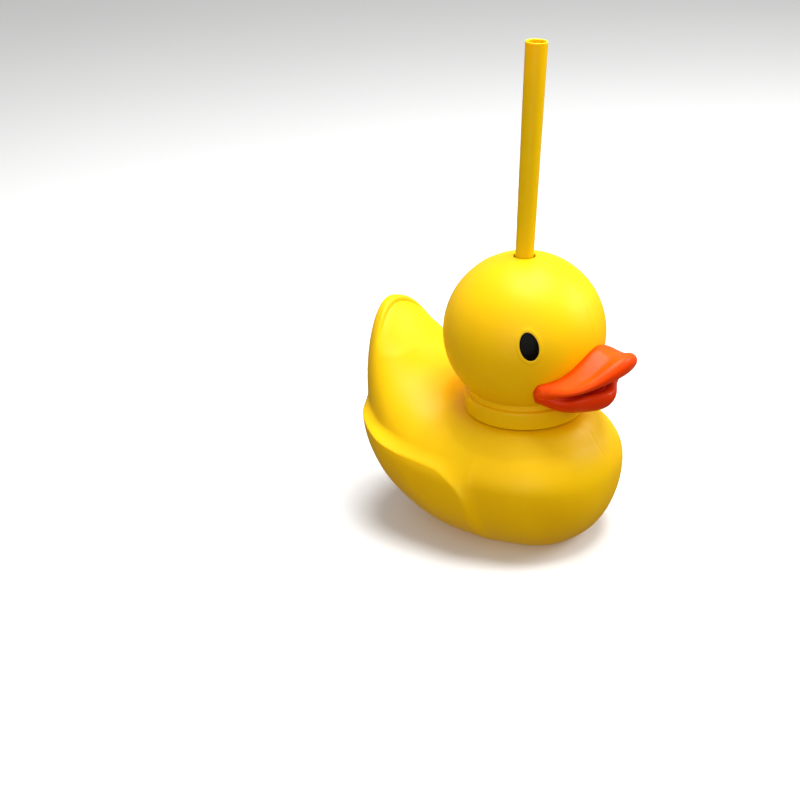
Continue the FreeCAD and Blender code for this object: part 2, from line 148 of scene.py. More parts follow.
def mesh_object(name, vertices, faces):
    """A mesh in metres from vertices in millimetres, with smooth faces pointing outwards."""
    mesh = bpy.data.meshes.new(name)
    mesh.from_pydata([tuple(v) for v in np.asarray(vertices) * MM], [], faces)
    bm = bmesh.new()
    bm.from_mesh(mesh)
    bmesh.ops.remove_doubles(bm, verts=bm.verts, dist=1e-7)
    bmesh.ops.recalc_face_normals(bm, faces=bm.faces)
    for face in bm.faces:
        face.smooth = True
    bm.to_mesh(mesh)
    bm.free()
    piece = bpy.data.objects.new(name, mesh)
    bpy.context.scene.collection.objects.link(piece)
    return piece


def grid_faces(rows, columns, close_rows=False, close_columns=True):
    """Quads over a grid of vertices numbered row by row."""
    faces = []
    for i in range(rows if close_rows else rows - 1):
        for j in range(columns if close_columns else columns - 1):
            a, b = i * columns, ((i + 1) % rows) * columns
            k = (j + 1) % columns
            faces.append((a + j, a + k, b + k, b + j))
    return faces


def closed_grid(name, grid):
    """A closed skin from rings of points; the first and last ring are filled."""
    rows, columns = grid.shape[:2]
    faces = grid_faces(rows, columns)
    faces.append(tuple(range(columns)))
    faces.append(tuple((rows - 1) * columns + j for j in range(columns)))
    return mesh_object(name, grid.reshape(-1, 3), faces)


def turned(name, profile, segments=192):
    """A ring turned about the screw axis from a closed outline of (radius, height)."""
    outline = np.asarray(profile, float)
    angle = np.arange(segments) * 2 * math.pi / segments
    grid = np.empty((len(outline), segments, 3))
    grid[:, :, 0] = outline[:, :1] * np.cos(angle)
    grid[:, :, 1] = outline[:, :1] * np.sin(angle)
    grid[:, :, 2] = outline[:, 1:]
    return mesh_object(name, grid.reshape(-1, 3), grid_faces(len(outline), segments, close_rows=True))


def turned_plug(name, profile, segments=192):
    """A solid of revolution from an open outline that starts and ends on the axis side."""
    outline = np.asarray(profile, float)
    angle = np.arange(segments) * 2 * math.pi / segments
    grid = np.empty((len(outline), segments, 3))
    grid[:, :, 0] = outline[:, :1] * np.cos(angle)
    grid[:, :, 1] = outline[:, :1] * np.sin(angle)
    grid[:, :, 2] = outline[:, 1:]
    return closed_grid(name, grid)


def rounded(corners, steps=5):
    """A closed outline of (across, up, corner radius) with its corners rounded by arcs."""
    outline = []
    count = len(corners)
    for i, (x, z, radius) in enumerate(corners):
        here = np.array((x, z), float)
        back = np.array(corners[i - 1][:2], float) - here
        ahead = np.array(corners[(i + 1) % count][:2], float) - here
        if radius == 0:
            outline.append(here)
            continue
        back, ahead = back / np.linalg.norm(back), ahead / np.linalg.norm(ahead)
        half = math.acos(np.clip(back @ ahead, -1, 1)) / 2
        reach = radius / math.tan(half)
        middle = back + ahead
        centre = here + middle / np.linalg.norm(middle) * radius / math.sin(half)
        first, last = here + back * reach - centre, here + ahead * reach - centre
        sweep = math.pi - 2 * half
        turn = math.copysign(1, first[0] * last[1] - first[1] * last[0])
        for k in range(steps + 1):
            angle = turn * sweep * k / steps
            spun = (first[0] * math.cos(angle) - first[1] * math.sin(angle),
                    first[0] * math.sin(angle) + first[1] * math.cos(angle))
            outline.append(centre + spun)
    return outline


def applied(piece):
    """Makes the piece's modifiers permanent."""
    mesh = bpy.data.meshes.new_from_object(piece.evaluated_get(bpy.context.evaluated_depsgraph_get()))
    old = piece.data
    piece.modifiers.clear()
    piece.data = mesh
    mesh.name = piece.name
    bpy.data.meshes.remove(old)
    return piece


def combine(piece, tool, operation):
    cut = piece.modifiers.new("combine", "BOOLEAN")
    cut.operation = operation
    cut.solver = "MANIFOLD"
    cut.object = tool
    applied(piece)
    bpy.data.objects.remove(tool)
    return piece


def shade_by_angle(piece, degrees=40):
    """Smooth shading with crisp edges where the surface turns sharply."""
    mesh = piece.data
    mesh.shade_smooth()
    bm = bmesh.new()
    bm.from_mesh(mesh)
    limit = math.radians(degrees)
    for edge in bm.edges:
        edge.smooth = len(edge.link_faces) == 2 and edge.calc_face_angle(0) < limit
    bm.to_mesh(mesh)
    bm.free()
    return piece


# ---------------------------------------------------------------- body

# From breast to tail: y, half width, height of the widest line, top, bottom.
BODY_STATIONS = np.array([
    (-50, 0, 39, 39, 39),
    (-47, 19, 39, 51, 20),
    (-38, 34, 40, 62, 6),
    (-20, 46, 41, 69, -4),
    (5, 50, 41, 71, -7),
    (30, 50, 43, 71, -6),
    (52, 46, 48, 80, -1),
    (68, 38, 57, 96, 10),
    (79, 29, 66, 111, 27),
    (86, 19, 73, 110.5, 47),
    (89, 0, 77, 77, 77),
], float)
# The wing's upper edge from its front corner to the tip: y, height.
WING_EDGE = np.array([(-6, 0), (0, 28), (3, 36.5), (10, 44), (20, 49), (31, 50.3), (43, 51.3), (55, 53.2),
                      (66, 55.4), (75, 58.6), (84, 62.5)], float)
WING_LIFT, WING_EXTRA_BEHIND = 3.6, 3.0
FOLD_HEIGHT, FOLD_SLOPE = 88.0, 0.15
TAIL_START = 55.0
PARTING_RISE = 0.14


def body_sections(rows):
    """Station values along the body: y, half width, widest height, top, bottom."""
    front, back = BODY_STATIONS[0, 0], BODY_STATIONS[-1, 0]
    middle, half = (front + back) / 2, (back - front) / 2
    knots = np.arccos(np.clip((middle - BODY_STATIONS[:, 0]) / half, -1, 1)) / math.pi
    along = np.linspace(0, 1, rows)
    reach = max(2, rows // 60)
    width, widest, top, bottom = (soften(monotone(knots, BODY_STATIONS[:, k], along), reach) for k in range(1, 5))
    y = middle - half * np.cos(math.pi * along)
    return y, np.maximum(width, 0), widest, np.maximum(top, widest), np.minimum(bottom, widest)


def around_section(columns, width):
    """Angles round a section, with close columns on the parting line, top and bottom."""
    fine = np.minimum(np.array((0.25, 0.6)) / max(width, 1e-3), (0.02, 0.04))
    near = np.concatenate([-np.arcsin(fine)[::-1], [0], np.arcsin(fine)])
    even = np.linspace(0.09, math.pi - 0.09, columns // 2)
    quarter = math.pi / 2
    return np.concatenate([quarter + near, quarter + even, 3 * quarter + near, 3 * quarter + even])


def body_surface(rows, columns):
    y, width, widest, top, bottom = body_sections(rows)
    grid = []
    for i in range(rows):
        angle = around_section(columns, width[i])
        height = np.where(np.sin(angle) > 0, top[i] - widest[i], widest[i] - bottom[i])
        grid.append(np.stack([width[i] * np.cos(angle), np.full_like(angle, y[i]),
                              widest[i] + height * np.sin(angle)], 1))
    return np.array(grid)


def inwards_of(skin):
    """Unit directions into the form at every point of a grid."""
    along = np.gradient(skin, axis=0)
    around = np.roll(skin, -1, 1) - np.roll(skin, 1, 1)
    normal = np.cross(along, around)
    normal /= np.linalg.norm(normal, axis=-1, keepdims=True) + 1e-9
    ring_centre = skin.mean(1, keepdims=True)
    facing = np.sign((normal * (skin - ring_centre)).sum(-1).mean())
    return -facing * normal


def inside_of(skin, wall):
    """The same grid, moved inwards by the wall."""
    return (skin + wall * inwards_of(skin))[3:-3]


def raise_wings(grid):
    """Lifts the wings off the flanks along a curved edge, broader in front and deeper behind."""
    x, y, z = grid[..., 0], grid[..., 1], grid[..., 2]
    first, last = WING_EDGE[0, 0], WING_EDGE[-1, 0]

    def edge_at(places):
        along = np.clip(places, first, last).ravel()
        return monotone(WING_EDGE[:, 0], WING_EDGE[:, 1], along).reshape(y.shape)

    slope = edge_at(y + 0.5) - edge_at(y - 0.5)
    below = (edge_at(y) - z) / np.sqrt(1 + slope ** 2)
    width = 5.0 + 6.0 * ramp(22, 2, y)
    step = np.clip((below + width - 1.0) / width, 0, 1) ** 2
    mask = step * ramp(-5, 3, y) * ramp(87, 76, y) * ramp(0, 20, np.abs(x))
    front = ramp(52, 20, y)
    foot = ramp(8 - 16 * front, 50 - 26 * front, z)
    grid[..., 0] += np.sign(x) * (WING_LIFT + WING_EXTRA_BEHIND * ramp(30, 62, y)) * mask * foot


def fold_tail(grid):
    """Leans the front of the tail's tip back along a fold."""
    y, z = grid[..., 1], grid[..., 2]
    inwards = inwards_of(grid)
    facing_forward = ramp(-0.1, 0.4, inwards[..., 1])
    depth = FOLD_SLOPE * np.maximum(z - FOLD_HEIGHT, 0) * facing_forward * (y > TAIL_START)
    grid += inwards * depth[..., None]


def settle(grid, floor):
    """Flattens the underside softly onto the given height."""
    z = grid[..., 2] - floor
    grid[..., 2] = floor + 0.5 * (z + np.sqrt(z * z + 1.2))


def make_body_shell():
    skin = body_surface(240, 300)
    raise_wings(skin)
    fold_tail(skin)
    radius = np.hypot(skin[..., 0], skin[..., 1])
    seat = ramp(43, 31.2, radius) * ramp(45, 55, skin[..., 2])
    skin[..., 2] += (SEAT_TOP - skin[..., 2]) * seat
    on_line = np.exp(-(skin[..., 0] / 0.3) ** 2) * (skin[..., 2] > 0.5) * (1 - seat)
    middle = np.array((0, 20, 45))
    outwards = skin - middle
    outwards[..., 0] = 0
    outwards /= np.linalg.norm(outwards, axis=-1, keepdims=True) + 1e-9
    x, y, z = skin[..., 0], skin[..., 1], skin[..., 2]
    crease = 0.45 * np.exp(-(x / 0.45) ** 2) * ramp(64, 68, y) * ramp(79, 75, y) * (z > 80)
    pinch = 0.5 * np.exp(-(x / 1.6) ** 2 - ((y + 36) / 2.2) ** 2) * (z > 50)
    skin += outwards * (PARTING_RISE * on_line * ramp(89, 80, y) - crease - pinch)[..., None]
    settle(skin, 0)
    skin[..., 2] -= skin[..., 2].min()
    body = closed_grid("duck_body", skin)
    form = body_surface(120, 120)
    fold_tail(form)
    near_neck = np.hypot(form[..., 0], form[..., 1]) < 44
    form[..., 2] = np.where(near_neck, np.minimum(form[..., 2], SEAT_TOP), form[..., 2])
    hollow = inside_of(form, WALL)
    settle(hollow, WALL)
    combine(body, closed_grid("cavity_tool", hollow), "DIFFERENCE")
    low = SEAT_TOP - 6
    neck = turned_plug("neck_tool", [(NECK_RADIUS, low), (NECK_RADIUS, NECK_TOP - 0.5),
                                     (NECK_RADIUS - 0.15, NECK_TOP - 0.15), (NECK_RADIUS - 0.5, NECK_TOP)])
    combine(body, neck, "UNION")
    mouth = turned_plug("mouth_tool", [(NECK_BORE, SEAT_TOP - 16), (NECK_BORE, NECK_TOP - 0.5),
                                       (NECK_BORE + 0.5, NECK_TOP), (NECK_BORE + 0.5, NECK_TOP + 2)])
    combine(body, mouth, "DIFFERENCE")
    ribs = thread_ribs("neck_ribs", radius=NECK_RADIUS - 0.2, crest=1.4, start_height=74.6,
                       turn=200, start_turn=0)
    combine(body, ribs, "UNION")
    return shade_by_angle(body)


# ---------------------------------------------------------------- threads

THREAD_LEAD = 10.0
RIB_ROOT, RIB_CREST = 1.0, 0.5


def thread_tree():
    """Ribs wound on a helix: a spiral swept with a four-cornered profile, repeated round the axis."""
    tree = bpy.data.node_groups.new("thread_ribs", "GeometryNodeTree")
    tree.is_modifier = True
    face = tree.interface
    face.new_socket("Geometry", in_out="INPUT", socket_type="NodeSocketGeometry")
    for label, value in (("Radius", 0.025), ("Crest", 0.0012), ("Lead", 0.01), ("Turns", 0.5),
                         ("Start Height", 0.07), ("Start Angle", 0.0), ("Root Width", 0.002),
                         ("Crest Width", 0.001)):
        socket = face.new_socket(label, in_out="INPUT", socket_type="NodeSocketFloat")
        socket.default_value = value
    face.new_socket("Starts", in_out="INPUT", socket_type="NodeSocketInt").default_value = 2
    face.new_socket("Material", in_out="INPUT", socket_type="NodeSocketMaterial")
    face.new_socket("Geometry", in_out="OUTPUT", socket_type="NodeSocketGeometry")
    nodes, links = tree.nodes, tree.links
    given = nodes.new("NodeGroupInput")

    def math_node(operation, first, second):
        node = nodes.new("ShaderNodeMath")
        node.operation = operation
        for socket, value in zip(node.inputs, (first, second)):
            if isinstance(value, (int, float)):
                socket.default_value = value
            else:
                links.new(value, socket)
        return node.outputs[0]

    spiral = nodes.new("GeometryNodeCurveSpiral")
    spiral.inputs["Resolution"].default_value = 96
    for end in ("Start Radius", "End Radius"):
        links.new(given.outputs["Radius"], spiral.inputs[end])
    links.new(given.outputs["Turns"], spiral.inputs["Rotations"])
    links.new(math_node("MULTIPLY", given.outputs["Lead"], given.outputs["Turns"]), spiral.inputs["Height"])
    upright = nodes.new("GeometryNodeSetCurveNormal")
    upright.mode = "Z_UP"
    links.new(spiral.outputs[0], upright.inputs["Curve"])

    section = nodes.new("GeometryNodeCurvePrimitiveQuadrilateral")
    section.mode = "TRAPEZOID"
    links.new(given.outputs["Root Width"], section.inputs["Bottom Width"])
    links.new(given.outputs["Crest Width"], section.inputs["Top Width"])
    links.new(given.outputs["Crest"], section.inputs["Height"])
    section.inputs["Offset"].default_value = 0
    turn_section = nodes.new("GeometryNodeTransform")
    links.new(section.outputs[0], turn_section.inputs["Geometry"])
    place = nodes.new("ShaderNodeCombineXYZ")
    links.new(math_node("MULTIPLY", given.outputs["Crest"], 0.5), place.inputs["X"])
    links.new(place.outputs[0], turn_section.inputs["Translation"])
    turn_section.inputs["Rotation"].default_value = (0, 0, -math.pi / 2)

    sweep = nodes.new("GeometryNodeCurveToMesh")
    sweep.inputs["Fill Caps"].default_value = True
    links.new(upright.outputs[0], sweep.inputs["Curve"])
    links.new(turn_section.outputs[0], sweep.inputs["Profile Curve"])

    spots = nodes.new("GeometryNodeMeshLine")
    links.new(given.outputs["Starts"], spots.inputs["Count"])
    spots.inputs["Offset"].default_value = (0, 0, 0)
    number = nodes.new("GeometryNodeInputIndex")
    part_turn = math_node("DIVIDE", number.outputs[0], given.outputs["Starts"])
    spin = math_node("ADD", math_node("MULTIPLY", part_turn, 2 * math.pi), given.outputs["Start Angle"])
    rotation = nodes.new("ShaderNodeCombineXYZ")
    links.new(spin, rotation.inputs["Z"])
    copies = nodes.new("GeometryNodeInstanceOnPoints")
    links.new(spots.outputs[0], copies.inputs["Points"])
    links.new(sweep.outputs[0], copies.inputs["Instance"])
    links.new(rotation.outputs[0], copies.inputs["Rotation"])
    lift = nodes.new("GeometryNodeTransform")
    raise_by = nodes.new("ShaderNodeCombineXYZ")
    links.new(given.outputs["Start Height"], raise_by.inputs["Z"])
    links.new(copies.outputs[0], lift.inputs["Geometry"])
    links.new(raise_by.outputs[0], lift.inputs["Translation"])
    real = nodes.new("GeometryNodeRealizeInstances")
    links.new(lift.outputs[0], real.inputs[0])
    dress = nodes.new("GeometryNodeSetMaterial")
    links.new(real.outputs[0], dress.inputs["Geometry"])
    links.new(given.outputs["Material"], dress.inputs["Material"])
    result = nodes.new("NodeGroupOutput")
    links.new(dress.outputs[0], result.inputs[0])
    return tree


THREADS = thread_tree()


def thread_ribs(name, radius, crest, start_height, turn, start_turn, material=None):
    """Two ribs of the quick thread; a negative crest stands inwards."""
    rib = bpy.data.objects.new(name, bpy.data.meshes.new(name))
    bpy.context.scene.collection.objects.link(rib)
    made = rib.modifiers.new("thread", "NODES")
    made.node_group = THREADS
    values = {"Radius": radius * MM, "Crest": crest * MM, "Lead": THREAD_LEAD * MM, "Turns": turn / 360,
              "Start Height": start_height * MM, "Start Angle": math.radians(start_turn),
              "Root Width": 2 * RIB_ROOT * MM, "Crest Width": 2 * RIB_CREST * MM, "Material": material}
    for item in THREADS.interface.items_tree:
        if item.in_out == "INPUT" and item.name in values:
            made[item.identifier] = values[item.name]
    applied(rib)
    bm = bmesh.new()
    bm.from_mesh(rib.data)
    bmesh.ops.remove_doubles(bm, verts=bm.verts, dist=1e-7)
    bmesh.ops.recalc_face_normals(bm, faces=bm.faces)
    bm.to_mesh(rib.data)
    bm.free()
    return rib


# ---------------------------------------------------------------- head

MIDLINE_FRONT, MIDLINE_BACK = -math.pi / 2, math.pi / 2


def closer(count, low, high, spots):
    """Samples from low to high, closer together round each (place, width, gain)."""
    fine = np.linspace(low, high, 6001)
    density = np.ones_like(fine)
    for place, width, gain in spots:
        density += gain * np.exp(-((fine - place) / width) ** 2)
    total = np.concatenate([[0], np.cumsum((density[1:] + density[:-1]) / 2)])
    return np.interp(np.linspace(0, total[-1], count), total, fine)


def eye_frame(side):
    """Axes of an eye: outwards, across (forwards positive) and up, leant towards the beak at its foot."""
    centre = EYE_CENTRE * (side, 1, 1)
    aim = centre / np.linalg.norm(centre)
    up = np.array((0, 0, 1.0)) - aim[2] * aim
    up /= np.linalg.norm(up)
    across = np.cross(up, aim) * side
    across /= np.linalg.norm(across)
    if across[1] > 0:
        across = -across
    lean = up * math.cos(EYE_TILT) - across * math.sin(EYE_TILT)
    forward = across * math.cos(EYE_TILT) + up * math.sin(EYE_TILT)
    return aim, forward, lean


def egg(angle, grow=0.0):
    """Outline of an eye, across and up: an oval a little narrower at its top."""
    up = np.sin(angle)
    across = np.cos(angle) * (1 - 0.09 * (up + 1) / 2)
    return (EYE_HALF_WIDTH + grow) * across, (EYE_HALF_HEIGHT + grow) * up


def past_eye(points, side):
    """Distance of each point outside an eye's outline, along the surface."""
    aim, forward, up = eye_frame(side)
    across, along = points @ forward, points @ up
    distance = (np.hypot(across / EYE_HALF_WIDTH, along / EYE_HALF_HEIGHT) - 1) * 5.4
    return np.where(points @ aim > 0, distance, 99)


def head_points(columns, polar, radius, rise):
    grid = np.empty((len(polar), len(columns), 3))
    grid[..., 0] = radius * np.sin(polar)[:, None] * np.cos(columns)
    grid[..., 1] = radius * np.sin(polar)[:, None] * np.sin(columns)
    grid[..., 2] = rise * np.cos(polar)[:, None]
    return grid


def make_head_shell():
    eye_turn = math.atan2(EYE_CENTRE[1], EYE_CENTRE[0])
    eye_polar = math.acos(EYE_CENTRE[2] / HEAD_RADIUS)
    columns = closer(381, -math.pi, math.pi, [(eye_turn, 0.17, 2.2), (-math.pi - eye_turn, 0.17, 2.2),
                                             (MIDLINE_FRONT, 0.018, 12), (MIDLINE_BACK, 0.018, 12)])[:-1]
    crown = math.asin((CROWN_HOLE + 0.7) / HEAD_RADIUS)
    opening = math.pi - math.asin(SPIGOT_RADIUS / HEAD_RADIUS)
    polar = closer(150, crown, opening, [(eye_polar, 0.2, 2.0), (crown, 0.03, 2)])
    skin = head_points(columns, polar, HEAD_RADIUS, HEAD_RISE)
    outwards = skin / np.linalg.norm(skin, axis=-1, keepdims=True)
    lift = PARTING_RISE * np.exp(-(skin[..., 0] / 0.28) ** 2)
    for side in (-1, 1):
        lift += 0.22 * np.exp(-((past_eye(skin, side) - 0.9) / 0.7) ** 2)
    gate = np.linalg.norm(skin - np.array((0, -30.5, 27.3)), axis=-1)
    lift += 0.25 * np.exp(-(gate / 0.8) ** 2)
    lift *= ramp(crown, crown + 0.03, polar)[:, None]
    skin += outwards * lift[..., None]

    wall_radius, wall_rise = HEAD_RADIUS - WALL, HEAD_RISE - WALL
    inner_crown = math.asin((CROWN_HOLE + 0.4) / wall_radius)
    inner_polar = np.linspace(math.pi - math.asin(SPIGOT_RADIUS / wall_radius), inner_crown, 36)
    lining = head_points(columns, inner_polar, wall_radius, wall_rise)
    lip_top, lip_foot = skin[0, :, 2].mean(), wall_rise * math.cos(inner_crown)
    lip = []
    for radius, height in ((CROWN_HOLE + 0.12, lip_foot + 0.12), (CROWN_HOLE, lip_foot + 0.4),
                           (CROWN_HOLE, lip_top - 0.55), (CROWN_HOLE + 0.1, lip_top - 0.25),
                           (CROWN_HOLE + 0.32, lip_top - 0.05)):
        lip.append(np.stack([radius * np.cos(columns), radius * np.sin(columns), np.full_like(columns, height)], 1))
    rings = np.concatenate([skin, lining, np.array(lip)])
    rings[..., 2] += HEAD_CENTRE
    head = mesh_object("duck_head", rings.reshape(-1, 3), grid_faces(len(rings), len(columns), close_rows=True))
    for side in (-1, 1):
        combine(head, eye_plug(f"socket_tool_{side}", side, EYE_FLOOR, HEAD_RADIUS + 3, 0.12), "DIFFERENCE")
    return shade_by_angle(head)


def eye_plug(name, side, floor, top, grow):
    """An oval prism along the eye's direction between two distances from the head's centre."""
    aim, forward, up = eye_frame(side)
    angle = np.linspace(0, 2 * math.pi, 97)[:-1]
    across, along = egg(angle, grow)
    oval = across[:, None] * forward + along[:, None] * up
    grid = np.stack([oval + aim * depth for depth in (floor - 2.2, top)])
    around = np.hypot(across, along)
    grid[0] += aim * (np.sqrt(floor ** 2 - around ** 2) - floor + 2.2)[:, None]
    grid[..., 2] += HEAD_CENTRE
    rings = [grid[0]]
    for shrink in (0.8, 0.6, 0.4, 0.2):
        flat = np.sqrt(floor ** 2 - (around * shrink) ** 2)
        ring = (across * shrink)[:, None] * forward + (along * shrink)[:, None] * up + aim * flat[:, None]
        rings.insert(0, ring + (0, 0, HEAD_CENTRE))
    rings.append(grid[1])
    return closed_grid(name, np.array(rings))


def make_eye(side):
    """A thin inlay that follows the head, domed a little and rounded at its rim."""
    aim, forward, up = eye_frame(side)
    angle = np.linspace(0, 2 * math.pi, 97)[:-1]
    rings = []
    for shrink, height in ((0.3, 0.0), (0.7, 0.0), (0.96, 0.0), (1.0, 0.2), (1.0, 0.75), (0.985, 0.95), (0.95, 1.07),
                           (0.88, 1.14), (0.75, 1.2), (0.55, 1.24), (0.3, 1.26), (0.1, 1.265)):
        across, along = egg(angle)
        across, along = across * shrink, along * shrink
        base = EYE_FLOOR + height - 0.06
        depth = np.sqrt(base ** 2 - across ** 2 - along ** 2)
        ring = across[:, None] * forward + along[:, None] * up + aim * depth[:, None]
        rings.append(ring + (0, 0, HEAD_CENTRE))
    return closed_grid("duck_eye_right" if side < 0 else "duck_eye_left", np.array(rings))


# ---------------------------------------------------------------- beak

# Loops round the beak from its middle (0) to its corner (1), relative to the head's centre: forwards
# is -Y. Each runs from inside the head over the saddle and the lip, into the mouth, round the lower
# bill and back into the head.
BEAK_LOOPS = {
    0.0: [(0, -37, -2.5), (0, -41.8, 0.6), (0, -45.5, 0.4), (0, -49.3, -1.0), (0, -53.2, -1.6), (0, -57.0, -0.5),
          (0, -59.6, -1.1), (0, -61.1, -4.6), (0, -59.0, -9.9), (0, -53, -12.6), (0, -48.6, -14.6), (0, -47.6, -18.2),
          (0, -46.0, -21.4), (0, -49.6, -20.8), (0, -52.0, -22.8), (0, -50.8, -27.6), (0, -46.0, -31.7),
          (0, -37, -33.0), (0, -27.5, -32.4), (0, -27, -15)],
    0.42: [(11.5, -35, -7), (13, -39.9, -4.4), (13.9, -43.6, -4.9), (14.6, -46.9, -6.0), (15.2, -49.9, -6.6),
           (15.9, -52.4, -6.4), (16.4, -54.4, -7.5), (16.6, -55.1, -9.6), (16.0, -53.6, -12.2), (14.6, -49.6, -14.0),
           (13.4, -44.8, -15.6), (13.2, -43.4, -18.2), (13, -41.5, -20.9), (13.9, -43.9, -20.6), (14.5, -45.7, -22.6),
           (14.2, -44.7, -26.8), (13.3, -41.3, -29.9), (12, -35, -31.1), (10.8, -28.3, -30.4), (10, -27, -15)],
    0.78: [(21, -30, -13), (23.0, -33.6, -10.7), (24.2, -36.5, -11.1), (25.2, -39.0, -11.8), (25.9, -41, -12.3),
           (26.6, -42.6, -12.9), (27.0, -43.6, -13.9), (26.9, -43.1, -15.2), (26.2, -41.8, -16.2),
           (25.4, -40.2, -17.1), (24.6, -38.8, -17.8), (24.5, -38.6, -18.8), (24.8, -38.9, -19.6),
           (25.2, -39.4, -20.2), (25.6, -39.9, -21.6), (25.1, -38.0, -24.7), (23.9, -35.0, -26.6),
           (22.1, -31.2, -27.3), (20, -26.6, -26.8), (18, -24, -16)],
    1.0: [(25.6, -22, -16), (28.2, -26.6, -12.9), (29.0, -28, -13.0), (29.7, -29.1, -13.6), (30.1, -30, -14.4),
          (30.4, -30.6, -15.5), (30.5, -30.8, -16.6), (30.5, -30.8, -17.6), (30.5, -30.7, -18.4),
          (30.4, -30.6, -18.9), (30.4, -30.5, -19.2), (30.4, -30.5, -19.5), (30.4, -30.4, -19.9),
          (30.3, -30.2, -20.5), (30.0, -29.7, -21.2), (29.4, -28.7, -22.2), (28.6, -27.3, -23.0),
          (27.8, -25.9, -23.4), (26.6, -24.2, -23.2), (24.3, -21, -18)],
}
MOUTH_FROM, MOUTH_TO = 8.0, 12.6
LOWER_FROM = 10.5


def make_beak():
    """A skin lofted through the loops, with its two corners closed by rounded ends."""
    places = sorted(BEAK_LOOPS)
    right = np.array([BEAK_LOOPS[place] for place in places], float)
    left = right[:0:-1] * (-1, 1, 1)
    stations = np.concatenate([-np.array(places[:0:-1]), places])
    loops = np.concatenate([left, right])
    count = loops.shape[1]
    chords = np.linalg.norm(np.roll(right[0], -1, 0) - right[0], axis=1) ** 0.5
    knots = np.concatenate([[0], np.cumsum(chords)]) / chords.sum()
    wrap = 5
    knots_round = np.concatenate([knots[-wrap - 1:-1] - 1, knots, knots[1:wrap + 1] + 1])
    order = np.concatenate([np.arange(count - wrap, count), np.arange(count), np.arange(wrap + 1)])

    across = closer(141, -1, 1, [(0, 0.02, 3)])
    lofted = spline(stations, loops, across)
    around = np.linspace(0, 1, 181)[:-1]
    place_of_loop = np.interp(around, knots, np.arange(count + 1))
    grid = np.array([spline(knots_round, ring[order], around) for ring in lofted])
    mark_midline(grid, place_of_loop)

    rings, cap_rings = [grid], 6
    for end, side in ((0, -1), (-1, 1)):
        ring, centre = grid[end], grid[end].mean(0)
        bulge = np.array((side * 0.62, 0.78, 0.0)) * 2.6
        cap = np.array([centre + (ring - centre) * math.cos(a) + bulge * math.sin(a)
                        for a in np.linspace(0, math.pi / 2, cap_rings + 2)[1:-1]])
        rings.insert(0 if side < 0 else len(rings), cap[::-1] if side < 0 else cap)
    skin = np.concatenate(rings)
    skin[..., 2] += HEAD_CENTRE
    beak = closed_grid("duck_beak", skin)
    reach = np.interp(np.arange(len(skin)), (cap_rings, len(skin) - 1 - cap_rings), (0, len(across) - 1))
    tint(beak, skin, place_of_loop, np.abs(np.interp(reach, np.arange(len(across)), across)))
    return beak


def mark_midline(grid, place_of_loop):
    """A short moulding line on the lower bill's lip."""
    x = grid[..., 0]
    lip = ramp(12.6, 13.4, place_of_loop) * ramp(15.4, 14.2, place_of_loop)
    grid[..., 1] += 0.3 * np.exp(-(x / 0.35) ** 2) * lip


def tint(beak, skin, place_of_loop, place_across):
    """Stores which points lie in the mouth, on the lower bill and along the lips and the root; the bill's colour is
    darkened there as painted shade.
    """
    flat = skin.reshape(-1, 3)
    where = np.tile(place_of_loop, len(skin))
    open_mouth = np.repeat(ramp(0.92, 0.7, place_across), len(place_of_loop))
    between_lips = ramp(MOUTH_FROM - 0.4, MOUTH_FROM + 0.6, where) * ramp(MOUTH_TO + 0.5, MOUTH_TO - 0.4, where)
    # Mouth mask: painted shade inside the open bill, under the upper lip.
    mouth = between_lips * open_mouth
    # Lower-bill mask: painted shade over the whole lower bill, which is the same plastic as the upper.
    lower = ramp(LOWER_FROM - 0.5, LOWER_FROM + 0.5, where)
    # Lip and root mask: painted shade along the lip's rolled edge and where the bill meets the head.
    edge = np.exp(-((where - 7.2) / 1.1) ** 2) + np.exp(-((where - 0.9) / 0.7) ** 2)
    store(beak, flat, {"mouth": mouth, "lower_bill": lower, "lip": np.clip(edge, 0, 1)})


def store(piece, points, values):
    """Writes point values onto the piece's vertices by place."""
    tree = KDTree(len(points))
    for i, point in enumerate(points * MM):
        tree.insert(point, i)
    tree.balance()
    nearest = [tree.find(vertex.co)[1] for vertex in piece.data.vertices]
    for name, value in values.items():
        attribute = piece.data.attributes.new(name, "FLOAT", "POINT")
        attribute.data.foreach_set("value", np.asarray(value, np.float32)[nearest])


# ---------------------------------------------------------------- neck, seals and straw

def make_neck_collar():
    bottom, top = COLLAR_LOW[2], COLLAR_HIGH[2]
    radius = COLLAR_HIGH[0]
    pilot = 2.0
    outline = [(radius - 0.7, bottom, 0.5), (radius, BAND_TOP, 1.5), (SPIGOT_RADIUS, BAND_TOP, 0.35),
               (SPIGOT_RADIUS, top, 0.4), (pilot, top, 0.3), (pilot, WEB_BOTTOM, 0.3),
               (COLLAR_BORE, WEB_BOTTOM, 0.4), (COLLAR_BORE, bottom, 0.3), (28.0, bottom, 0.3),
               (28.0, 75.7, 0.4), (29.6, 75.7, 0.4), (29.6, bottom, 0.3)]
    collar = turned("screw_collar", rounded(outline), 256)
    ribs = thread_ribs("collar_ribs", radius=COLLAR_BORE + 0.2, crest=-1.4, start_height=73.45,
                       turn=150, start_turn=-20)
    combine(collar, ribs, "UNION")
    hole = turned_plug("seal_hole_tool", [(SEAL_WAIST + 0.4, WEB_BOTTOM - 1), (SEAL_WAIST + 0.4, WEB_BOTTOM),
                                          (SEAL_WAIST, WEB_BOTTOM + 0.4), (SEAL_WAIST, top - 0.4),
                                          (SEAL_WAIST + 0.4, top), (SEAL_WAIST + 0.4, top + 1)], 96)
    hole.data.transform(Matrix.Translation(SEAL_MIDDLE * MM))
    combine(collar, hole, "DIFFERENCE")
    return shade_by_angle(collar)


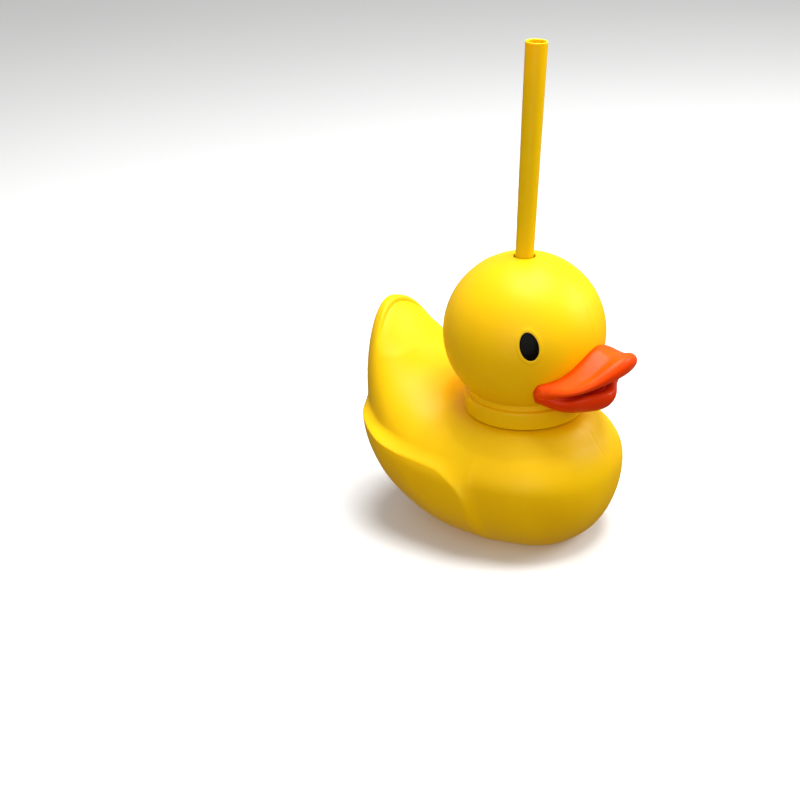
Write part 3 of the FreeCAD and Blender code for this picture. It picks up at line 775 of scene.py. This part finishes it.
def make_cap_gasket():
    low, high = GASKET_LOW[2], GASKET_HIGH[2]
    inner, outer = NECK_BORE + 0.3, GASKET_HIGH[0]
    middle = (low + high) / 2
    outline = [(inner, low, 0.25), (outer, low, 0.25), (outer, middle - 0.12, 0), (outer - 0.2, middle, 0),
               (outer, middle + 0.12, 0), (outer, high, 0.25), (inner, high, 0.25)]
    return shade_by_angle(turned("lid_gasket", rounded(outline), 160))


def make_straw_seal():
    low, high = SEAL_LOW[2], SEAL_HIGH[2]
    flange, lip = (SEAL_HIGH[0] - SEAL_LOW[0]) / 2, 1.5
    waist_low, waist_high = low + lip, high - lip
    outline = [(SEAL_BORE + 0.5, low, 0.25), (flange - 0.5, low, 0.4), (flange, waist_low, 0.3),
               (SEAL_WAIST, waist_low, 0.2), (SEAL_WAIST, waist_high, 0.2), (flange, waist_high, 0.3),
               (flange - 0.5, high, 0.4), (SEAL_BORE + 0.5, high, 0.25), (SEAL_BORE, waist_high, 0.3),
               (SEAL_BORE + 0.3, (low + high) / 2, 0.3), (SEAL_BORE, waist_low, 0.3)]
    grommet = turned("straw_grommet", rounded(outline), 96)
    grommet.data.transform(Matrix.Translation(SEAL_MIDDLE * MM))
    return shade_by_angle(grommet)


def make_straw():
    """A tapered tube with a rolled mouth, a plain foot and two faint moulding lines."""
    low, high = STRAW_FOOT, STRAW_TOP
    foot_out, mouth_out = 3.4, 5.45
    foot_in, mouth_in = 2.5, 4.4
    mouth_length = 10
    heights = np.linspace(low + 0.5, high - 0.6, 48)
    outside = [(foot_out + (mouth_out - foot_out) * (z - low) / (high - low), z) for z in heights]
    inside = [(foot_in + (mouth_in - foot_in) * min(1, (z - low) / (high - mouth_length - low)), z)
              for z in heights[::-1]]
    rim = [(mouth_out - 0.06, high - 0.28), (mouth_out - 0.25, high - 0.07), ((mouth_out + mouth_in) / 2, high),
           (mouth_in + 0.25, high - 0.07), (mouth_in + 0.06, high - 0.28)]
    foot = [(foot_in + 0.05, low + 0.2), (foot_in + 0.2, low), (foot_out - 0.2, low), (foot_out - 0.05, low + 0.2)]
    outline = np.array(outside + rim + inside + foot)
    angle = closer(97, 0, 2 * math.pi, [(math.pi / 2, 0.06, 4), (3 * math.pi / 2, 0.06, 4)])[:-1]
    line = np.exp(-((angle - math.pi / 2) / 0.05) ** 2) + np.exp(-((angle - 3 * math.pi / 2) / 0.05) ** 2)
    grid = np.empty((len(outline), len(angle), 3))
    radius = np.repeat(outline[:, :1], len(angle), 1)
    radius[:len(outside)] += 0.07 * line - 0.07
    grid[..., 0] = radius * np.cos(angle)
    grid[..., 1] = radius * np.sin(angle)
    grid[..., 2] = outline[:, 1:]
    straw = mesh_object("drinking_straw", grid.reshape(-1, 3), grid_faces(len(outline), len(angle), close_rows=True))
    pivot = Matrix.Translation((0, 0, CROWN * MM))
    lean = Vector((0, 0, 1)).rotation_difference(STRAW_LINE).to_matrix().to_4x4()
    straw.data.transform(pivot @ lean @ pivot.inverted())
    return straw


# ---------------------------------------------------------------- materials

def new_group(name, inputs, outputs):
    """A shader node group with named sockets; returns the tree, its input node and its output node."""
    tree = bpy.data.node_groups.new(name, "ShaderNodeTree")
    for label, kind, value in inputs:
        socket = tree.interface.new_socket(label, in_out="INPUT", socket_type="NodeSocket" + kind)
        if value is not None:
            socket.default_value = value
    for label, kind in outputs:
        tree.interface.new_socket(label, in_out="OUTPUT", socket_type="NodeSocket" + kind)
    return tree, tree.nodes.new("NodeGroupInput"), tree.nodes.new("NodeGroupOutput")


def wire(tree, kind, settings=None, **sockets):
    """Adds a node; sockets are values or the outputs that feed them, by socket name."""
    node = tree.nodes.new(kind)
    for key, value in (settings or {}).items():
        setattr(node, key, value)
    for key, value in sockets.items():
        label = key.replace("_", " ")
        socket = node.inputs[int(key[1:])] if key[0] == "i" and key[1:].isdigit() else node.inputs[label]
        if isinstance(value, bpy.types.NodeSocket):
            tree.links.new(value, socket)
        else:
            socket.default_value = value
    return node


def scaled_noise(tree, coordinates, scale, detail=2.0, roughness=0.5):
    return wire(tree, "ShaderNodeTexNoise", Vector=coordinates, Scale=scale, Detail=detail,
                Roughness=roughness).outputs["Fac"]


def span(tree, value, low, high, to_low=0.0, to_high=1.0):
    return wire(tree, "ShaderNodeMapRange", {"interpolation_type": "SMOOTHSTEP"}, Value=value, From_Min=low,
                From_Max=high, To_Min=to_low, To_Max=to_high).outputs["Result"]


def calc(tree, operation, first, second=0.0):
    return wire(tree, "ShaderNodeMath", {"operation": operation}, i0=first, i1=second).outputs[0]


def blend_colour(tree, factor, first, second):
    node = tree.nodes.new("ShaderNodeMix")
    node.data_type = "RGBA"
    for socket, value in ((node.inputs[0], factor), (node.inputs[6], first), (node.inputs[7], second)):
        if isinstance(value, bpy.types.NodeSocket):
            tree.links.new(value, socket)
        else:
            socket.default_value = value
    return node.outputs[2]


def colour_drift_group():
    """Slow swings of shade in moulded plastic: thicker and thinner places and flow marks."""
    tree, given, result = new_group("colour_drift", [("Colour", "Color", (1, 1, 1, 1)),
                                                     ("Deep Colour", "Color", (1, 1, 1, 1)),
                                                     ("Patch Scale", "Float", 20.0), ("Amount", "Float", 0.3)],
                                    [("Colour", "Color"), ("Mask", "Float")])
    place = tree.nodes.new("ShaderNodeTexCoord").outputs["Object"]
    patches = scaled_noise(tree, place, given.outputs["Patch Scale"], 3.0)
    stretched = wire(tree, "ShaderNodeMapping", Vector=place, Scale=(1.0, 1.0, 0.25)).outputs[0]
    flow = scaled_noise(tree, stretched, calc(tree, "MULTIPLY", given.outputs["Patch Scale"], 4.0), 2.0)
    mostly_patches = calc(tree, "MULTIPLY", patches, 0.75)
    mask = span(tree, calc(tree, "ADD", mostly_patches, calc(tree, "MULTIPLY", flow, 0.25)), 0.38, 0.66)
    strength = calc(tree, "MULTIPLY", mask, given.outputs["Amount"])
    shade = blend_colour(tree, strength, given.outputs["Colour"], given.outputs["Deep Colour"])
    tree.links.new(shade, result.inputs["Colour"])
    tree.links.new(mask, result.inputs["Mask"])
    return tree


def moulded_skin_group():
    """The fine pebbling of a blow-moulded skin over broad ripples, as a normal."""
    tree, given, result = new_group("moulded_skin", [("Pebble Scale", "Float", 900.0), ("Pebble Depth", "Float", 0.1),
                                                     ("Ripple Scale", "Float", 60.0), ("Ripple Depth", "Float", 0.1)],
                                    [("Normal", "Vector")])
    place = tree.nodes.new("ShaderNodeTexCoord").outputs["Object"]
    ripple = scaled_noise(tree, place, given.outputs["Ripple Scale"], 2.0)
    pebble = scaled_noise(tree, place, given.outputs["Pebble Scale"], 3.0, 0.6)
    broad = wire(tree, "ShaderNodeBump", Strength=given.outputs["Ripple Depth"], Distance=0.0006, Height=ripple)
    fine = wire(tree, "ShaderNodeBump", Strength=given.outputs["Pebble Depth"], Distance=0.00006, Height=pebble,
                Normal=broad.outputs[0])
    tree.links.new(fine.outputs[0], result.inputs["Normal"])
    return tree


def wear_and_crease_shade_group():
    """Wear on raised edges and rubbed places, and a mask for painted shade in the creases."""
    tree, given, result = new_group("wear_and_crease_shade", [("Edge Low", "Float", 0.52), ("Edge High", "Float", 0.6),
                                                 ("Scuff Scale", "Float", 120.0)],
                                    [("Edge", "Float"), ("Crease", "Float"), ("Scuff", "Float")])
    sharpness = tree.nodes.new("ShaderNodeNewGeometry").outputs["Pointiness"]
    place = tree.nodes.new("ShaderNodeTexCoord").outputs["Object"]
    broken = scaled_noise(tree, place, given.outputs["Scuff Scale"], 4.0, 0.65)
    edge = span(tree, sharpness, given.outputs["Edge Low"], given.outputs["Edge High"])
    tree.links.new(calc(tree, "MULTIPLY", edge, span(tree, broken, 0.35, 0.6)), result.inputs["Edge"])
    # Crease mask: where the surface is hollow, used for painted shade in the creases.
    tree.links.new(span(tree, sharpness, 0.49, 0.44), result.inputs["Crease"])
    tree.links.new(span(tree, broken, 0.6, 0.72), result.inputs["Scuff"])
    return tree


COLOUR_DRIFT = colour_drift_group()
MOULDED_SKIN = moulded_skin_group()
WEAR_AND_CREASE_SHADE = wear_and_crease_shade_group()


def grouped(tree, group, **sockets):
    node = tree.nodes.new("ShaderNodeGroup")
    node.node_tree = group
    for key, value in sockets.items():
        socket = node.inputs[key.replace("_", " ")]
        if isinstance(value, bpy.types.NodeSocket):
            tree.links.new(value, socket)
        else:
            socket.default_value = value
    return node.outputs


def new_material(name):
    material = bpy.data.materials.new(name)
    material.use_nodes = True
    tree = material.node_tree
    shader = tree.nodes["Principled BSDF"]
    return material, tree, shader


def finish_surface(tree, shader, colour, roughness, normal):
    tree.links.new(colour, shader.inputs["Base Color"])
    tree.links.new(roughness, shader.inputs["Roughness"])
    tree.links.new(normal, shader.inputs["Normal"])


def rough_from(tree, base, wear_and_crease_shade, drift_mask, scuffed=0.12, drifted=0.05):
    marks = calc(tree, "MULTIPLY", wear_and_crease_shade["Scuff"], scuffed)
    drift = calc(tree, "MULTIPLY", drift_mask, drifted)
    worn = calc(tree, "MULTIPLY", wear_and_crease_shade["Edge"], scuffed)
    return calc(tree, "ADD", calc(tree, "ADD", calc(tree, "ADD", base, marks), drift), worn)


YELLOW = (0.92, 0.555, 0.0, 1)
YELLOW_DEEP = (0.89, 0.50, 0.0, 1)
YELLOW_WORN = (0.94, 0.60, 0.04, 1)
# A deeper orange painted into the creases as shade.
YELLOW_CREASE_SHADE = (0.68, 0.29, 0.0, 1)


def yellow_plastic(name, roughness, pebble, subsurface, ripple=0.12, amount=0.6):
    """Warm yellow polyethylene: satin, slightly translucent, paler where it is rubbed, with painted shade in its
    creases.
    """
    material, tree, shader = new_material(name)
    drift = grouped(tree, COLOUR_DRIFT, Colour=YELLOW, Deep_Colour=YELLOW_DEEP, Patch_Scale=26.0, Amount=amount)
    wear_and_crease_shade = grouped(tree, WEAR_AND_CREASE_SHADE)
    worn = blend_colour(tree, calc(tree, "MULTIPLY", wear_and_crease_shade["Edge"], 0.35), drift["Colour"], YELLOW_WORN)
    # Painted shade: creases are darkened towards a deeper orange.
    colour = blend_colour(tree, calc(tree, "MULTIPLY", wear_and_crease_shade["Crease"], 0.5), worn, YELLOW_CREASE_SHADE)
    skin = grouped(tree, MOULDED_SKIN, Pebble_Scale=1400.0, Pebble_Depth=pebble, Ripple_Scale=70.0, Ripple_Depth=ripple)
    finish_surface(tree, shader, colour, rough_from(tree, roughness, wear_and_crease_shade, drift["Mask"]), skin["Normal"])
    shader.inputs["Subsurface Weight"].default_value = subsurface
    shader.inputs["Subsurface Radius"].default_value = (0.004, 0.0018, 0.0003)
    shader.inputs["Subsurface Scale"].default_value = 1.0
    shader.inputs["Specular IOR Level"].default_value = 0.18
    return material


def attribute(tree, name):
    node = tree.nodes.new("ShaderNodeAttribute")
    node.attribute_name = name
    return node.outputs["Fac"]


def orange_plastic():
    """Glossy orange bill with painted shade: darker red along the lip's rolled edge and the root, deep red in the mouth
    and on the lower bill.
    """
    material, tree, shader = new_material("bill_orange")
    drift = grouped(tree, COLOUR_DRIFT, Colour=(0.90, 0.088, 0.0, 1), Deep_Colour=(0.86, 0.06, 0.0, 1),
                    Patch_Scale=60.0, Amount=0.7)
    wear_and_crease_shade = grouped(tree, WEAR_AND_CREASE_SHADE, Scuff_Scale=260.0)
    # Painted shade along the lip's rolled edge and at the root.
    lip = calc(tree, "MULTIPLY", attribute(tree, "lip"), 0.75)
    lip_and_root_shade = blend_colour(tree, lip, drift["Colour"], (0.82, 0.04, 0.0, 1))
    # Painted shade over the lower bill.
    lower = blend_colour(tree, attribute(tree, "lower_bill"), lip_and_root_shade, (0.76, 0.038, 0.0, 1))
    # Painted shade in the mouth.
    mouth = blend_colour(tree, attribute(tree, "mouth"), lower, (0.50, 0.010, 0.0, 1))
    colour = blend_colour(tree, calc(tree, "MULTIPLY", wear_and_crease_shade["Edge"], 0.25), mouth, (1.0, 0.22, 0.06, 1))
    skin = grouped(tree, MOULDED_SKIN, Pebble_Scale=1500.0, Pebble_Depth=0.06, Ripple_Scale=160.0, Ripple_Depth=0.1)
    finish_surface(tree, shader, colour, rough_from(tree, 0.32, wear_and_crease_shade, drift["Mask"]), skin["Normal"])
    shader.inputs["Subsurface Weight"].default_value = 0.1
    shader.inputs["Specular IOR Level"].default_value = 0.13
    shader.inputs["Subsurface Radius"].default_value = (0.003, 0.0006, 0.0002)
    shader.inputs["Subsurface Scale"].default_value = 1.0
    return material


def black_gloss():
    """Glossy black eye with a faint swirl in its lacquer."""
    material, tree, shader = new_material("eye_black")
    drift = grouped(tree, COLOUR_DRIFT, Colour=(0.0022, 0.0022, 0.0022, 1), Deep_Colour=(0.0045, 0.0045, 0.004, 1),
                    Patch_Scale=200.0, Amount=1.0)
    wear_and_crease_shade = grouped(tree, WEAR_AND_CREASE_SHADE, Scuff_Scale=400.0)
    skin = grouped(tree, MOULDED_SKIN, Pebble_Scale=2600.0, Pebble_Depth=0.03, Ripple_Scale=300.0, Ripple_Depth=0.05)
    finish_surface(tree, shader, drift["Colour"], rough_from(tree, 0.22, wear_and_crease_shade, drift["Mask"]), skin["Normal"])
    shader.inputs["Specular IOR Level"].default_value = 0.05
    return material


def clear_silicone():
    """Milky silicone with a matt bloom and fine dust."""
    material, tree, shader = new_material("milky_silicone")
    drift = grouped(tree, COLOUR_DRIFT, Colour=(0.80, 0.82, 0.81, 1), Deep_Colour=(0.70, 0.73, 0.72, 1),
                    Patch_Scale=150.0, Amount=0.8)
    wear_and_crease_shade = grouped(tree, WEAR_AND_CREASE_SHADE, Scuff_Scale=300.0)
    skin = grouped(tree, MOULDED_SKIN, Pebble_Scale=3000.0, Pebble_Depth=0.15, Ripple_Scale=250.0, Ripple_Depth=0.05)
    finish_surface(tree, shader, drift["Colour"], rough_from(tree, 0.42, wear_and_crease_shade, drift["Mask"]), skin["Normal"])
    shader.inputs["Subsurface Weight"].default_value = 0.5
    shader.inputs["Subsurface Radius"].default_value = (0.002, 0.002, 0.002)
    shader.inputs["Subsurface Scale"].default_value = 1.0
    return material


# ---------------------------------------------------------------- assembly

def place(piece, body, node, finish, slot):
    """Dresses a piece and puts it in for its CAD node."""
    piece.data.materials.clear()
    piece.data.materials.append(finish)
    for polygon in piece.data.polygons:
        polygon.material_index = 0
    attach(piece, body)
    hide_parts(node)


def build_duck():
    shell = yellow_plastic("duck_yellow", roughness=0.4, pebble=0.2, subsurface=0.12)
    cap = yellow_plastic("collar_yellow", roughness=0.36, pebble=0.1, subsurface=0.1)
    tube = yellow_plastic("straw_yellow", roughness=0.3, pebble=0.05, subsurface=0.35, ripple=0.05)
    black, bill, silicone = black_gloss(), orange_plastic(), clear_silicone()
    place(make_body_shell(), "cup", "body_shell", shell, "yellow_shell")
    place(make_neck_collar(), "lid", "neck_collar", cap, "yellow_cap")
    place(make_head_shell(), "lid", "head_shell", shell, "yellow_shell")
    place(make_beak(), "lid", "beak", bill, "orange_beak")
    place(make_eye(1), "lid", "left_eye", black, "black_eye")
    place(make_eye(-1), "lid", "right_eye", black, "black_eye")
    place(make_straw_seal(), "lid", "straw_seal", silicone, "clear_silicone")
    place(make_cap_gasket(), "seal", "cap_gasket", silicone, "clear_silicone")
    place(make_straw(), "straw", "straw", tube, "yellow_straw")


# ---------------------------------------------------------------- studio

def make_floor():
    """A pale floor with the faintest unevenness."""
    half = 3.0
    mesh = bpy.data.meshes.new(GROUND)
    corners = [(-half, -half, 0), (half, -half, 0), (half, half, 0), (-half, half, 0)]
    mesh.from_pydata(corners, [], [(0, 1, 2, 3)])
    floor = bpy.data.objects.new(GROUND, mesh)
    bpy.context.scene.collection.objects.link(floor)
    material, tree, shader = new_material("pale_floor")
    place_on = tree.nodes.new("ShaderNodeTexCoord").outputs["Object"]
    shade = scaled_noise(tree, place_on, 3.0)
    tree.links.new(blend_colour(tree, shade, (0.86, 0.86, 0.86, 1), (0.9, 0.9, 0.9, 1)), shader.inputs["Base Color"])
    shader.inputs["Roughness"].default_value = 0.7
    mesh.materials.append(material)
    floor.visible_diffuse = False
    floor.visible_glossy = False


def add_light(name, location, target, size, power, colour=(1, 1, 1)):
    lamp = bpy.data.lights.new(name, "AREA")
    lamp.shape = "DISK"
    lamp.size = size
    lamp.energy = power
    lamp.color = colour
    holder = bpy.data.objects.new(name, lamp)
    bpy.context.scene.collection.objects.link(holder)
    holder.location = location
    holder.rotation_euler = (Vector(target) - Vector(location)).to_track_quat("-Z", "Y").to_euler()


def light_studio():
    """A wide softbox overhead, a smaller one on the beak's side, and air that is darker below."""
    middle = (0, 0.02, 0.09)
    add_light("overhead_softbox", (0.12, -0.05, 1.0), middle, 0.7, 13.5)
    add_light("side_softbox", (0.62, -0.62, 0.6), middle, 0.6, 5.6)
    add_light("front_fill", (-0.85, -0.45, 0.3), middle, 0.9, 3.4)
    world = bpy.data.worlds.new("studio_air")
    world.use_nodes = True
    tree = world.node_tree
    direction = tree.nodes.new("ShaderNodeTexCoord").outputs["Generated"]
    height = wire(tree, "ShaderNodeSeparateXYZ", Vector=direction).outputs["Z"]
    sky = span(tree, height, -0.35, 0.5)
    air = blend_colour(tree, sky, (0.29, 0.21, 0.12, 1), (0.48, 0.48, 0.48, 1))
    tree.links.new(air, tree.nodes["Background"].inputs["Color"])
    bpy.context.scene.world = world
    bpy.context.scene.view_settings.view_transform = "Standard"


def set_camera():
    """Three-quarter view from the duck's right, a little above, with the head right of centre."""
    azimuth, pitch, roll = math.radians(-52.6), math.radians(25.2), math.radians(2.0)
    distance, lens, sensor = 0.805, 72.0, 36.0
    across_view, up_view = 0.0626, 0.0352
    back = Vector((math.sin(azimuth) * math.cos(pitch), -math.cos(azimuth) * math.cos(pitch), math.sin(pitch)))
    right = Vector((math.cos(azimuth), math.sin(azimuth), 0))
    up = back.cross(right)
    right, up = (right * math.cos(roll) - up * math.sin(roll), right * math.sin(roll) + up * math.cos(roll))
    data = bpy.data.cameras.new("studio_camera")
    data.lens = lens
    data.sensor_width = sensor
    camera = bpy.data.objects.new("studio_camera", data)
    bpy.context.scene.collection.objects.link(camera)
    spot = Vector((0, 0, HEAD_CENTRE * MM)) - right * across_view - up * up_view + back * distance
    camera.matrix_world = Matrix((
        (right.x, up.x, back.x, spot.x),
        (right.y, up.y, back.y, spot.y),
        (right.z, up.z, back.z, spot.z),
        (0, 0, 0, 1),
    ))
    bpy.context.scene.camera = camera


set_camera()
light_studio()
make_floor()
build_duck()

bpy.context.view_layer.update()
